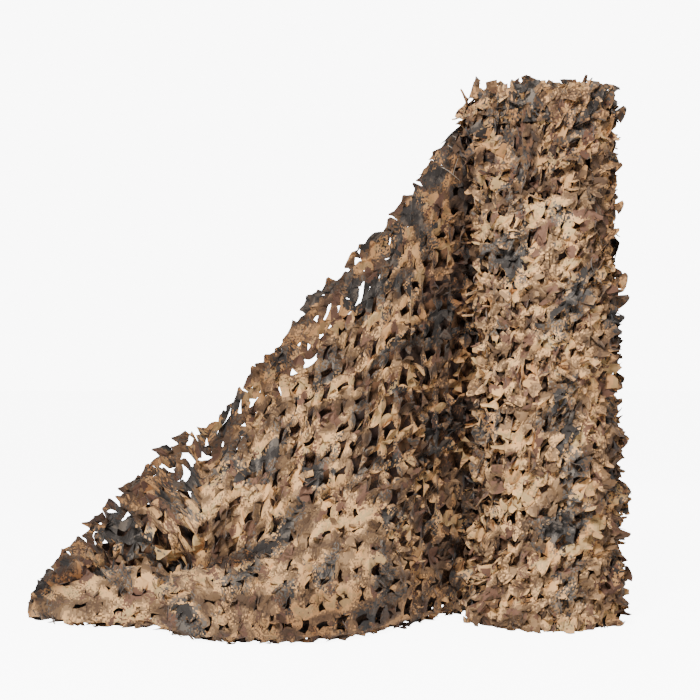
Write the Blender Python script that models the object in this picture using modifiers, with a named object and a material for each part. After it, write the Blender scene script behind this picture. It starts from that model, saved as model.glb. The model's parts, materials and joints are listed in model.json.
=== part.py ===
"""Camouflage netting: a roll of it stood on its end, with the loose end drawn off to one side.

The netting is one length of die-cut cloth, folded in half along its length, so that it is wound double and
both of its edges are at the roll's top. The loose end leaves the back of the roll as two layers and slumps:
the front layer's edge falls in a straight line to the floor, the fold at the bottom spreads out over the
floor in front, and the rear layer stands behind with its edge a little lower.

Metres, +Z up. The origin is the middle of the roll's flat base. The loose end runs towards -X, and the
side that is looked at faces -Y.
"""

import math

import bmesh
import bpy
import numpy as np
from mathutils import Vector

# ---- Netting -------------------------------------------------------------------------------------------
ROLL_HEIGHT = 1.485  # the netting's width, folded in half
SHEET_THICKNESS = 0.004  # the cloth with its curled leaves
WINDOWS_ALONG = 15  # modelled windows along the loose end, 0.12 m apart, twice the real net's spacing
WINDOWS_ACROSS = 20  # and across both its layers
EDGE_POINT = 0.022  # how far a leaf's tip stands out past the cloth's edge
LEAF_LIFT = 0.008  # how far the crossings of the bars stand out of the sheet, in turn
LEAF_SPACING = 0.060  # crossings closer together than this are lifted less
FOLD_BAR = 0.35  # the bar along the fold is this share of the others' width

# ---- Roll ----------------------------------------------------------------------------------------------
ROLL_RADIUS = 0.215  # where the outer turn leaves the roll, at the height where the flare is 1
TURN = 0.030  # from one turn of the spiral to the next
ROLL_COLUMNS = 44  # round the roll
ROLL_ROWS = 42  # up the roll
LEAVE_ANGLE = math.radians(90)  # the outer turn leaves at the back and runs towards -X
LEAF_OUT = 0.018  # the longest leaf points on the roll's side
LEAF_SEED = 5
SMOOTH_COLUMNS = 4  # without leaf points, where the loose end passes close to the roll
RIM_RISE = 0.020  # leaf points on the rim
RIDGE_HEIGHT = 0.011  # the edge of each turn, on the roll's top
CORE_DEPTH = 0.045  # the dimple left in the middle of the top

# Share of the height, and the roll's radius there as a share of ROLL_RADIUS.
ROLL_FLARE = (
    (0.00, 1.040),
    (0.08, 1.030),
    (0.30, 0.995),
    (0.60, 0.980),
    (0.90, 0.975),
    (1.00, 0.950),
)

# Where the netting bulges out of the roll.
ROLL_BULGES = (
    # degrees from +X, half width in degrees, height, half height, how far out
    (202, 24, 0.055, 0.080, 0.060),
    (182, 30, 1.400, 0.160, 0.038),
    (-6, 26, 0.370, 0.080, 0.014),
    (262, 30, 0.820, 0.240, 0.009),
    (318, 26, 1.150, 0.200, 0.008),
    (300, 30, 0.520, 0.180, -0.010),
    (340, 28, 0.080, 0.090, 0.012),
)

# ---- Loose end -----------------------------------------------------------------------------------------
# A row for each section across the loose end, from the roll to the free end. In the front layer a section
# runs from the top edge, over a shoulder and the belly of the hanging cloth, into the crease, over the ridge
# of the fold that lies on the floor and round its front. The top edge lies back behind the shoulder.
FRONT_COLUMNS = (
    "x", "top_y", "top_z", "back", "belly_y", "belly_z", "crease_y", "crease_z",
    "ridge_y", "ridge_z", "front_y",
)
FRONT_LAYER = (
    (-0.13, 0.210, 1.460, 0.00, 0.210, 0.90, 0.210, 0.330, 0.210, 0.180, 0.210),
    (-0.25, 0.170, 1.425, 0.02, 0.130, 0.76, 0.110, 0.300, 0.095, 0.160, 0.070),
    (-0.40, 0.175, 1.190, 0.05, 0.040, 0.58, -0.040, 0.310, -0.098, 0.165, -0.138),
    (-0.55, 0.175, 1.015, 0.06, -0.045, 0.48, -0.165, 0.290, -0.255, 0.165, -0.328),
    (-0.70, 0.175, 0.865, 0.07, -0.070, 0.40, -0.190, 0.250, -0.318, 0.155, -0.412),
    (-0.84, 0.172, 0.680, 0.07, -0.080, 0.33, -0.110, 0.180, -0.295, 0.155, -0.405),
    (-0.98, 0.168, 0.535, 0.06, -0.060, 0.27, -0.010, 0.138, -0.225, 0.162, -0.350),
    (-1.09, 0.165, 0.445, 0.05, -0.030, 0.25, 0.032, 0.122, -0.085, 0.150, -0.185),
    (-1.21, 0.158, 0.355, 0.05, -0.008, 0.23, 0.036, 0.122, -0.065, 0.150, -0.165),
    (-1.34, 0.150, 0.215, 0.03, 0.035, 0.14, 0.042, 0.106, -0.012, 0.105, -0.095),
    (-1.47, 0.145, 0.090, 0.02, 0.085, 0.07, 0.090, 0.052, 0.045, 0.050, -0.010),
)

# The rear layer goes on from there: back along the floor to the heel, and up close behind the front layer to
# its own edge. It has a row for each of the rows above.
REAR_COLUMNS = ("heel_y", "middle_y", "middle_z", "rear_y", "rear_z")
REAR_LAYER = (
    (0.246, 0.248, 0.700, 0.244, 1.400),
    (0.215, 0.212, 0.700, 0.224, 1.250),
    (0.140, 0.132, 0.520, 0.190, 1.010),
    (0.060, 0.035, 0.430, 0.150, 0.820),
    (0.065, 0.008, 0.350, 0.125, 0.660),
    (0.085, 0.012, 0.270, 0.125, 0.490),
    (0.120, 0.040, 0.200, 0.125, 0.360),
    (0.155, 0.072, 0.170, 0.118, 0.285),
    (0.190, 0.095, 0.140, 0.128, 0.215),
    (0.240, 0.135, 0.090, 0.158, 0.130),
    (0.275, 0.195, 0.042, 0.190, 0.055),
)
SHOULDER_DROP = 0.11  # from the top edge down to the shoulder, which the edge lies back behind
FRONT_HEIGHT = 0.26  # of the ridge's height, where the fold reaches furthest forward
FOOT = 0.18  # of the ridge's height, from the fold's front back to where it meets the floor
HEEL_BEND = 0.04  # height of the rear layer's bend off the floor
HEEL_ROUND = 0.45  # of its middle's height, where the rear layer is too low for that
SEAM_GAP = 0.0004  # between the roll and the loose end
SEAM_STRAIGHT = 0.065  # the layers run straight off the roll for this far
SEAM_FRONT = 0.011  # the front layer at the roll, out from the turn below it
SEAM_FOLD = 0.012  # height of the fold at the roll

# Upright pleats in the valley beside the roll, and slanting ones across the belly, in the front layer.
PLEATS = (
    # middle x, half width, lowest z, highest z, wavelength, depth, slant
    (-0.340, 0.130, 0.02, 0.95, 0.150, 0.016, 0.00),
    (-0.640, 0.240, 0.10, 0.60, 0.170, 0.014, 0.55),
    (-1.080, 0.220, 0.12, 0.40, 0.130, 0.010, 0.30),
)

FINE_SECTIONS = 160  # sections worked out along the loose end before the grid is laid on it
FINE_POINTS = 61  # points worked out across each layer of them

CLOTH_COLOUR = (0.42, 0.29, 0.19, 1.0)
CLOTH_ROUGHNESS = 0.85


# ---- Curves --------------------------------------------------------------------------------------------
def through(points, knots, at):
    """The smooth curve through points, which it passes at the knots, read at the given places."""
    points, knots, at = (np.asarray(a, float) for a in (points, knots, at))
    slopes = np.gradient(points, knots, axis=0)
    span = np.clip(np.searchsorted(knots, at, side="right") - 1, 0, len(knots) - 2)
    width = knots[span + 1] - knots[span]
    t = (at - knots[span]) / width
    shape = (-1,) + (1,) * (points.ndim - 1)
    t, width = t.reshape(shape), width.reshape(shape)
    return (
        (2 * t**3 - 3 * t**2 + 1) * points[span]
        + (t**3 - 2 * t**2 + t) * width * slopes[span]
        + (3 * t**2 - 2 * t**3) * points[span + 1]
        + (t**3 - t**2) * width * slopes[span + 1]
    )


def distances(points):
    """How far along a line of points each one is."""
    steps = np.linalg.norm(np.diff(points, axis=0), axis=1)
    return np.concatenate([[0.0], np.cumsum(steps)])


def evenly(points, count):
    """A line of points again, as count points the same distance apart."""
    along = distances(points)
    at = np.linspace(0.0, along[-1], count)
    return np.stack([np.interp(at, along, points[:, axis]) for axis in range(3)], axis=1)


def layers_evenly(points, shares):
    """A section's points at the given shares of its cloth, of which each layer has half."""
    fold = len(points) // 2
    along = distances(points)
    share = np.where(
        along <= along[fold],
        0.5 * along / along[fold],
        0.5 + 0.5 * (along - along[fold]) / (along[-1] - along[fold]),
    )
    return np.stack([np.interp(shares, share, points[:, axis]) for axis in range(3)], axis=1)


def smoothstep(value, low, high):
    t = np.clip((value - low) / (high - low), 0.0, 1.0)
    return t * t * (3 - 2 * t)


# ---- Roll ----------------------------------------------------------------------------------------------
def flare(height):
    """The roll's radius at a height, as a share of ROLL_RADIUS."""
    shares, radii = zip(*ROLL_FLARE)
    return float(np.interp(height / ROLL_HEIGHT, shares, radii))


def turn_radius(round_share, height):
    """The outer turn's radius: a whole TURN less just past the line where it leaves the roll."""
    return (ROLL_RADIUS - TURN * (1 - round_share)) * flare(height)


def bulge(round_share, height):
    """How far the netting bulges out of the roll there."""
    degrees = math.degrees(LEAVE_ANGLE) + 360 * round_share
    out = 0.0
    for middle, half_width, middle_height, half_height, depth in ROLL_BULGES:
        turned = (degrees - middle + 180) % 360 - 180
        reach = (turned / half_width) ** 2 + ((height - middle_height) / half_height) ** 2
        out += depth * max(0.0, 1 - reach)
    return out


def leaf_points():
    """How far out the leaves stand at each crossing: a few long points among low ones, a row at a time."""
    chance = np.random.default_rng(LEAF_SEED).random((ROLL_ROWS + 1, ROLL_COLUMNS + 1))
    return LEAF_OUT * (1.35 * chance**1.6 - 0.35)


def on_roll(round_share, radius, height):
    angle = LEAVE_ANGLE + 2 * math.pi * round_share
    return Vector((radius * math.cos(angle), radius * math.sin(angle), height))


def roll_side(mesh):
    """The vertices up the roll's side, in columns. The last column is one turn further out than the first."""
    points = leaf_points()
    columns = []
    for column in range(ROLL_COLUMNS + 1):
        round_share = column / ROLL_COLUMNS
        leafy = min(1.0, column / SMOOTH_COLUMNS, (ROLL_COLUMNS - column) / 2)
        stack = []
        for row in range(ROLL_ROWS + 1):
            height = ROLL_HEIGHT * row / ROLL_ROWS
            radius = turn_radius(round_share, height)
            if column not in (0, ROLL_COLUMNS):
                radius += leafy * max(points[row, column], 0.0 if row == ROLL_ROWS else -1.0)
                radius += bulge(round_share, height)
                if row == ROLL_ROWS:
                    height += RIM_RISE * max(-0.2, math.sin(2.6 * column + math.sin(1.3 * column)))
                elif row > 0:
                    height += 0.4 * leafy * points[row - 1, column]
            stack.append(mesh.verts.new(on_roll(round_share, radius, height)))
        columns.append(stack)
    return columns


def roll_top(mesh, side):
    """The turns' edges on the roll's top, as one spiral of ridges and grooves that closes on a dimple."""
    step = TURN / 2
    rings = int((ROLL_RADIUS - 2.2 * TURN) / step)
    rim = [stack[-1] for stack in side]
    spiral = [rim]
    for ring in range(1, rings + 1):
        line = []
        for column in range(ROLL_COLUMNS + 1):
            if column == ROLL_COLUMNS and ring >= 2:
                line.append(spiral[ring - 2][0])
                continue
            round_share = column / ROLL_COLUMNS
            radius = turn_radius(round_share, ROLL_HEIGHT) - ring * step * flare(ROLL_HEIGHT)
            ridge = RIDGE_HEIGHT * (1 if ring % 2 == 0 else -1)
            sway = 0.5 * RIDGE_HEIGHT * math.sin(2.2 * column + 0.8 * ring)
            line.append(mesh.verts.new(on_roll(round_share, radius, ROLL_HEIGHT + ridge + sway)))
        spiral.append(line)
    for outer, inner in zip(spiral, spiral[1:]):
        for column in range(ROLL_COLUMNS):
            mesh.faces.new((outer[column], outer[column + 1], inner[column + 1], inner[column]))
    core = mesh.verts.new((0.0, 0.0, ROLL_HEIGHT - CORE_DEPTH))
    loop = spiral[-1][:ROLL_COLUMNS] + [spiral[-3][0], spiral[-2][0]]
    for here, there in zip(loop, loop[1:] + loop[:1]):
        mesh.faces.new((here, there, core))
    return spiral


def make_roll(collection, material):
    """The wound netting: a spiral step up its back, leaf points on its side, and a flat base."""
    mesh = bmesh.new()
    side = roll_side(mesh)
    spiral = roll_top(mesh, side)
    for here, there in zip(side, side[1:]):
        for row in range(ROLL_ROWS):
            mesh.faces.new((here[row], there[row], there[row + 1], here[row + 1]))
    last, first = side[-1], side[0]
    for row in range(ROLL_ROWS - 1):
        mesh.faces.new((last[row], first[row], first[row + 1], last[row + 1]))
    mesh.faces.new((last[-2], first[-2], first[-1], spiral[1][-1], last[-1]))
    mesh.faces.new([stack[0] for stack in reversed(side)])
    bmesh.ops.recalc_face_normals(mesh, faces=mesh.faces)
    return add_object("netting_roll", mesh, collection, material)


# ---- Loose end -----------------------------------------------------------------------------------------
def two_layers(front, rear):
    """A section from its two layers' points, with the fold's point once."""
    front = evenly(front, FINE_POINTS)
    rear = evenly(rear, FINE_POINTS)
    return np.concatenate([front, rear[1:]])


def seam_section():
    """The upright line where both layers leave the roll."""
    heights = np.linspace(ROLL_HEIGHT - 0.004, SEAM_FOLD, FINE_POINTS)
    inner = [turn_radius(0.0, height) + SEAM_FRONT for height in heights]
    outer = [turn_radius(1.0, height) - SHEET_THICKNESS for height in heights]
    along = np.full(FINE_POINTS, -SEAM_GAP)
    fold = np.array([[-SEAM_GAP, (inner[-1] + outer[-1]) / 2, SHEET_THICKNESS / 2]])
    front = np.concatenate([np.stack([along, inner, heights], axis=1), fold])
    rear = np.concatenate([fold, np.stack([along, outer, heights], axis=1)[::-1]])
    return two_layers(front, rear)


def section(front, rear):
    """One section across the loose end, from the front layer's top edge to the rear layer's."""
    f = dict(zip(FRONT_COLUMNS, front))
    r = dict(zip(REAR_COLUMNS, rear))
    floor = SHEET_THICKNESS / 2
    hang = min(1.0, (f["top_z"] - f["belly_z"]) / (3 * SHOULDER_DROP))
    room = r["heel_y"] - f["front_y"]
    keys = np.array((
        (f["top_y"], f["top_z"]),
        (f["top_y"] - f["back"], f["top_z"] - SHOULDER_DROP * hang),
        (f["belly_y"], f["belly_z"]),
        (f["crease_y"], f["crease_z"]),
        (f["ridge_y"], f["ridge_z"]),
        (f["front_y"], FRONT_HEIGHT * f["ridge_z"]),
        (f["front_y"] + min(FOOT * f["ridge_z"], 0.4 * room), floor),
        (r["heel_y"] - 0.2 * room, floor),
        (r["heel_y"], floor + min(HEEL_BEND, HEEL_ROUND * r["middle_z"])),
        (r["middle_y"], r["middle_z"]),
        (r["rear_y"], r["rear_z"]),
    ))
    foot = 6  # the foot's place among the keys
    knots = np.concatenate([[0.0], np.cumsum(np.sqrt(np.linalg.norm(np.diff(keys, axis=0), axis=1)))])
    halves = []
    for start, end in ((0.0, knots[foot]), (knots[foot], knots[-1])):
        line = through(keys, knots, np.linspace(start, end, 3 * FINE_POINTS))
        height = np.maximum(line[:, 1], floor)
        halves.append(np.stack([np.full(len(line), f["x"]), line[:, 0], height], axis=1))
    return two_layers(*halves)


def pleated(points):
    """The sections with the front layer's pleats. A pleat moves the cloth in and out, along Y."""
    front = points[:, :FINE_POINTS]
    x, z = front[..., 0], front[..., 2]
    moved = points.copy()
    for middle, half, low, high, wavelength, depth, slant in PLEATS:
        near = np.clip(1 - ((x - middle) / half) ** 2, 0.0, 1.0)
        up = smoothstep(z, low, low + 0.12) * (1 - smoothstep(z, high - 0.15, high))
        moved[:, :FINE_POINTS, 1] -= depth * near * up * np.sin(2 * math.pi * (x + slant * z) / wavelength)
    return moved


def draped_sheet(columns, rows):
    """The draped cloth's middle surface as a grid of points: columns + 1 along it, rows + 1 across it."""
    seam = seam_section()
    drape = [section(front, rear) for front, rear in zip(FRONT_LAYER, REAR_LAYER)]
    sections = np.array([seam, seam - (SEAM_STRAIGHT, 0.0, 0.0)] + drape)
    gaps = np.linalg.norm(np.diff(sections, axis=0), axis=2).mean(axis=1)
    knots = np.concatenate([[0.0], np.cumsum(gaps)])
    fine = pleated(through(sections, knots, np.linspace(0.0, knots[-1], FINE_SECTIONS)))
    fine[..., 2] = np.maximum(fine[..., 2], SHEET_THICKNESS / 2)
    fine[0] = sections[0]
    steps = np.linalg.norm(np.diff(fine, axis=0), axis=2).mean(axis=1)
    along = np.concatenate([[0.0], np.cumsum(steps)])
    at = np.linspace(0.0, along[-1], columns + 1)
    width = fine.shape[1]
    spread = np.stack(
        [[np.interp(at, along, fine[:, p, axis]) for axis in range(3)] for p in range(width)], axis=0
    ).transpose(2, 0, 1)
    shares = np.linspace(0.0, 1.0, rows + 1)
    shares[rows // 2] = 0.5 - 0.5 * FOLD_BAR / rows
    shares[rows // 2 + 1] = 0.5 + 0.5 * FOLD_BAR / rows
    return np.array([layers_evenly(line, shares) for line in spread])


def shaped_windows(points, columns, rows):
    """Tall and wide windows in turn, leaf tips along the edges, and crossings that stand out by turns."""
    moved = points.copy()
    along = np.gradient(points, axis=0)
    across = np.gradient(points, axis=1)
    normal = np.cross(along, across)
    normal /= np.linalg.norm(normal, axis=2, keepdims=True)
    for i in range(1, columns):
        for j in range(1, rows):
            tall = ((i - 1) // 2 + (j - 1) // 2) % 2 == 0
            side_i = 1 if i % 2 == 1 else -1
            side_j = 1 if j % 2 == 1 else -1
            narrow, widen = 0.13, -0.10
            share_i = narrow if tall else widen
            share_j = widen if tall else narrow
            sway = 0.07 * math.sin(3.1 * i + 5.3 * j)
            moved[i, j] += along[i, j] * (side_i * share_i + sway)
            if j not in (rows // 2, rows // 2 + 1):
                moved[i, j] += across[i, j] * (side_j * share_j - sway)
            on_floor = points[i, j, 2] < 3 * SHEET_THICKNESS
            spacing = min(1.0, np.linalg.norm(across[i, j]) / LEAF_SPACING)
            lift = 0.0 if on_floor or i < 3 else LEAF_LIFT * spacing**2 * math.sin(2.7 * i + 1.9 * j)
            moved[i, j] += normal[i, j] * lift
    for i in range(2, columns + 1, 2):
        for j, outwards in ((0, -1.0), (rows, 1.0)):
            edge = across[i, j] / np.linalg.norm(across[i, j])
            moved[i, j] += edge * outwards * EDGE_POINT
    for j in range(2, rows, 2):
        edge = along[columns, j] / np.linalg.norm(along[columns, j])
        moved[columns, j] += edge * EDGE_POINT
    moved[..., 2] = np.maximum(moved[..., 2], SHEET_THICKNESS / 2)
    return moved


def make_loose_end(collection, material):
    """The draped netting: a grid of bars, windows cut between them, and leaf tips along its edges."""
    columns = 2 * WINDOWS_ALONG + 1
    rows = 2 * WINDOWS_ACROSS + 1
    points = shaped_windows(draped_sheet(columns, rows), columns, rows)
    mesh = bmesh.new()
    grid = [[mesh.verts.new(points[i, j]) for j in range(rows + 1)] for i in range(columns + 1)]
    for i in range(columns):
        for j in range(rows):
            if i % 2 == 1 and j % 2 == 1:
                continue  # a window
            mesh.faces.new((grid[i][j], grid[i + 1][j], grid[i + 1][j + 1], grid[i][j + 1]))
    sheet = add_object("netting_loose_end", mesh, collection, material)
    solidify = sheet.modifiers.new("cloth thickness", "SOLIDIFY")
    solidify.thickness = SHEET_THICKNESS
    solidify.offset = 0.0
    return sheet


# ---- Objects -------------------------------------------------------------------------------------------
def cloth_material():
    material = bpy.data.materials.new("camouflage cloth")
    material.use_nodes = True
    shader = material.node_tree.nodes["Principled BSDF"]
    shader.inputs["Base Color"].default_value = CLOTH_COLOUR
    shader.inputs["Roughness"].default_value = CLOTH_ROUGHNESS
    shader.inputs["Metallic"].default_value = 0.0
    return material


def add_object(name, mesh, collection, material):
    data = bpy.data.meshes.new(name)
    mesh.to_mesh(data)
    mesh.free()
    data.materials.append(material)
    made = bpy.data.objects.new(name, data)
    collection.objects.link(made)
    return made


def main():
    for old in list(bpy.data.objects):
        bpy.data.objects.remove(old)
    collection = bpy.data.collections.new("camouflage netting")
    bpy.context.scene.collection.children.link(collection)
    material = cloth_material()
    make_roll(collection, material)
    make_loose_end(collection, material)


main()
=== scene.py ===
# %% [markdown]
# # Camouflage netting: a standing roll with its loose end drawn out
#
# The netting is thin polyester cloth, printed in a blotched desert pattern and die-cut with slits. Pulled
# open, it becomes a lattice: bars about 25 mm wide, windows between them, and pointed leaves that curl out of
# the cloth. This script lays such a lattice over the draped shape of the loose end and over the roll, then
# scatters more curled leaves on both with Geometry Nodes.
#
# Units are metres, +Z is up, the roll stands on the origin and the camera looks along +Y.

# %% Frame
import json
import math
import random

import bpy
import numpy as np
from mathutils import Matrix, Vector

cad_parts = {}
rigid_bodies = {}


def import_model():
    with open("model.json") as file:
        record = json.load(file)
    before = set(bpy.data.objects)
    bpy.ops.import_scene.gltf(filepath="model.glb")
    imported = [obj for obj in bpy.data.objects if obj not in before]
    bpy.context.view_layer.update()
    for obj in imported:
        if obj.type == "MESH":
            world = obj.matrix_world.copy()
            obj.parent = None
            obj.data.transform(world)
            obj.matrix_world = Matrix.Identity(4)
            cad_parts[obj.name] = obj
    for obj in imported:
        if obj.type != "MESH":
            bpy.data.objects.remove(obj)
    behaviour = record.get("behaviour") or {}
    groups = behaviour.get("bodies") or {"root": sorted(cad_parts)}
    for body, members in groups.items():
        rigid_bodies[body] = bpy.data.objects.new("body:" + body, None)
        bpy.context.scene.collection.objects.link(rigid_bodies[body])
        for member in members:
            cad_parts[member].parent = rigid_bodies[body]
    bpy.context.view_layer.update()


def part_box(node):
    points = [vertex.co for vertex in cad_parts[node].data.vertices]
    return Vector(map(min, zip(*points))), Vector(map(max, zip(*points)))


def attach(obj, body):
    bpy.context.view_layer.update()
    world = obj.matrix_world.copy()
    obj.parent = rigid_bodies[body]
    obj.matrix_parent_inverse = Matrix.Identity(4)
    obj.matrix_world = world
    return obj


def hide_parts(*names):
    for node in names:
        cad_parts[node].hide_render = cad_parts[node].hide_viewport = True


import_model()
for node in ("netting_roll", "netting_loose_end"):
    low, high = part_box(node)
    print(node, "measures", np.round(np.subtract(high, low), 3))

# %% [markdown]
# ## Curves and unevenness
#
# `through` draws a smooth curve through rows of numbers. `unevenness` is value noise: random numbers on a
# grid with smooth steps between them, the same on every run, and between -1 and 1. It makes cloth uneven at a
# size that is chosen in metres. A noise texture on the finished mesh could do that too, but here the cloth's
# shape is needed as numbers, before there is a mesh.


# %% Helpers for shape
def through(points, knots, at):
    """The smooth curve through points, which it passes at the knots, read at the given places."""
    points, knots, at = (np.asarray(a, float) for a in (points, knots, at))
    slopes = np.gradient(points, knots, axis=0)
    span = np.clip(np.searchsorted(knots, at, side="right") - 1, 0, len(knots) - 2)
    width = knots[span + 1] - knots[span]
    t = (at - knots[span]) / width
    shape = (-1,) + (1,) * (points.ndim - 1)
    t, width = t.reshape(shape), width.reshape(shape)
    return (
        (2 * t**3 - 3 * t**2 + 1) * points[span]
        + (t**3 - 2 * t**2 + t) * width * slopes[span]
        + (3 * t**2 - 2 * t**3) * points[span + 1]
        + (t**3 - t**2) * width * slopes[span + 1]
    )


def running(steps):
    """0, and then the running total of the steps."""
    return np.concatenate([[0.0], np.cumsum(steps)])


def distances(points):
    """How far along a line each of its points is."""
    return running(np.linalg.norm(np.diff(points, axis=0), axis=1))


def read_line(points, along, at):
    """The places on a line at other distances along it."""
    return np.stack([np.interp(at, along, column) for column in points.T], axis=1)


def evenly(points, count):
    """A line of points again, as count points the same distance apart."""
    along = distances(points)
    return read_line(points, along, np.linspace(0.0, along[-1], count))


def smoothstep(value, low, high):
    t = np.clip((value - low) / (high - low), 0.0, 1.0)
    return t * t * (3 - 2 * t)


GRID = 64
GRID_START = (17.3, 31.7)  # keeps the grids' corners away from u = 0 and w = 0


def unevenness(u, w, size, seed):
    """Smooth random numbers from -1 to 1 over (u, w), with lumps of about that size in metres."""
    grid = np.random.default_rng(seed).uniform(-1.0, 1.0, (GRID, GRID))
    x, y = np.asarray(u) / size + GRID_START[0], np.asarray(w) / size + GRID_START[1]
    i, j = np.floor(x).astype(int), np.floor(y).astype(int)
    s, t = smoothstep(x - i, 0.0, 1.0), smoothstep(y - j, 0.0, 1.0)
    i, j = i % GRID, j % GRID
    low = grid[i, j] * (1 - s) + grid[(i + 1) % GRID, j] * s
    high = grid[i, (j + 1) % GRID] * (1 - s) + grid[(i + 1) % GRID, (j + 1) % GRID] * s
    return low * (1 - t) + high * t


sample = unevenness(np.arange(1000) * 0.01, np.zeros(1000), 0.05, 1)
print("unevenness goes from", round(float(sample.min()), 2), "to", round(float(sample.max()), 2))

# %% [markdown]
# ## The drape of the loose end
#
# The netting is folded in half along its length, so two layers leave the back of the roll. A row of the
# first table is one section across the front layer: from its top edge, over a shoulder and the hanging belly,
# into a crease, over the ridge of the fold that lies on the floor and round its front. The second table takes
# the same section on, back along the floor to the heel and up close behind the front layer.
#
# These rows give the solid its shape too. Here they are read more finely, so the cloth lies on its solid. A
# cloth simulation could make such a drape, but it wouldn't end up in the shape that the netting has here.

# %% Section tables
HEIGHT = 1.485
TOP = HEIGHT - 0.004  # the cloth's top edge, without its leaf tips
ROLL_RADIUS = 0.215
TURN = 0.030  # from one wound turn to the next
FRONT_COLUMNS = (
    "x", "top_y", "top_z", "back", "belly_y", "belly_z", "crease_y", "crease_z",
    "ridge_y", "ridge_z", "front_y",
)
FRONT_LAYER = (
    (-0.13, 0.210, 1.460, 0.00, 0.210, 0.90, 0.210, 0.330, 0.210, 0.180, 0.210),
    (-0.25, 0.170, 1.425, 0.02, 0.130, 0.76, 0.110, 0.300, 0.095, 0.160, 0.070),
    (-0.40, 0.175, 1.190, 0.05, 0.040, 0.58, -0.040, 0.310, -0.098, 0.165, -0.138),
    (-0.55, 0.175, 1.015, 0.06, -0.045, 0.48, -0.165, 0.290, -0.255, 0.165, -0.328),
    (-0.70, 0.175, 0.865, 0.07, -0.070, 0.40, -0.190, 0.250, -0.318, 0.155, -0.412),
    (-0.84, 0.172, 0.680, 0.07, -0.080, 0.33, -0.110, 0.180, -0.295, 0.155, -0.405),
    (-0.98, 0.168, 0.535, 0.06, -0.060, 0.27, -0.010, 0.138, -0.225, 0.162, -0.350),
    (-1.09, 0.165, 0.445, 0.05, -0.030, 0.25, 0.032, 0.122, -0.085, 0.150, -0.185),
    (-1.21, 0.158, 0.355, 0.05, -0.008, 0.23, 0.036, 0.122, -0.065, 0.150, -0.165),
    (-1.34, 0.150, 0.215, 0.03, 0.035, 0.14, 0.042, 0.106, -0.012, 0.105, -0.095),
    (-1.47, 0.145, 0.090, 0.02, 0.085, 0.07, 0.090, 0.052, 0.045, 0.050, -0.010),
)
REAR_COLUMNS = ("heel_y", "middle_y", "middle_z", "rear_y", "rear_z")
REAR_LAYER = (
    (0.246, 0.248, 0.700, 0.244, 1.400),
    (0.215, 0.212, 0.700, 0.224, 1.250),
    (0.140, 0.132, 0.520, 0.190, 1.010),
    (0.060, 0.035, 0.430, 0.150, 0.820),
    (0.065, 0.008, 0.350, 0.125, 0.660),
    (0.085, 0.012, 0.270, 0.125, 0.490),
    (0.120, 0.040, 0.200, 0.125, 0.360),
    (0.155, 0.072, 0.170, 0.118, 0.285),
    (0.190, 0.095, 0.140, 0.128, 0.215),
    (0.240, 0.135, 0.090, 0.158, 0.130),
    (0.275, 0.195, 0.042, 0.190, 0.055),
)
PLEATS = (
    # middle x, half width, lowest z, highest z, wavelength, depth, slant
    (-0.340, 0.130, 0.02, 0.95, 0.150, 0.016, 0.00),
    (-0.640, 0.240, 0.10, 0.60, 0.170, 0.014, 0.55),
    (-1.080, 0.220, 0.12, 0.40, 0.130, 0.010, 0.30),
)
PLEAT_START, PLEAT_END = 0.12, 0.15  # how softly they start and end, in metres of height
ROLL_FLARE = (
    # share of the height, share of the radius
    (0.00, 1.040), (0.08, 1.030), (0.30, 0.995), (0.60, 0.980), (0.90, 0.975), (1.00, 0.950),
)
FLOOR = 0.004  # the cloth's middle lies this far above the floor
LAYER_POINTS = 121
print(len(FRONT_LAYER), "sections, from x =", FRONT_LAYER[0][0], "to", FRONT_LAYER[-1][0])

# %% [markdown]
# A section is a smooth line through these points, for both layers together. Where the netting leaves the
# roll, both layers are upright, one just outside the turn before and one just inside the outer turn.

# %% Sections
SEAM_FRONT, SEAM_REAR = 0.011, 0.004  # how far the layers lie outside and inside the two turns there
SEAM_FOLD = 0.012  # the height at which they start to bend to each other
SEAM_STRAIGHT = 0.065  # how far they go on before they drape
SHOULDER_DROP, FULL_HANG = 0.11, 0.33  # the shoulder's fall where the cloth hangs at least that far
FRONT_HEIGHT, FOOT = 0.26, 0.18  # the fold's foremost height and its foot's depth, as shares of the ridge
FOOT_ROOM, HEEL_ROOM = 0.4, 0.2  # the most of the floor that foot and heel take up
HEEL_BEND, HEEL_ROUND = 0.04, 0.45  # the heel's height, and the most of the rear layer that it takes up


def turn_radius(round_share, height):
    """The outer turn's radius: a whole TURN less just past the line where it leaves the roll."""
    shares, radii = zip(*ROLL_FLARE)
    return (ROLL_RADIUS - TURN * (1 - round_share)) * np.interp(np.asarray(height) / HEIGHT, shares, radii)


def seam_section(x):
    """The upright line where both layers leave the roll."""
    heights = np.linspace(TOP, SEAM_FOLD, LAYER_POINTS)
    inner, outer = turn_radius(0.0, heights) + SEAM_FRONT, turn_radius(1.0, heights) - SEAM_REAR
    fold = np.array([[x, (inner[-1] + outer[-1]) / 2, FLOOR]])
    front = np.concatenate([np.stack([np.full(LAYER_POINTS, x), inner, heights], axis=1), fold])
    rear = np.concatenate([fold, np.stack([np.full(LAYER_POINTS, x), outer, heights], axis=1)[::-1]])
    return np.concatenate([evenly(front, LAYER_POINTS), evenly(rear, LAYER_POINTS)[1:]])


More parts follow.
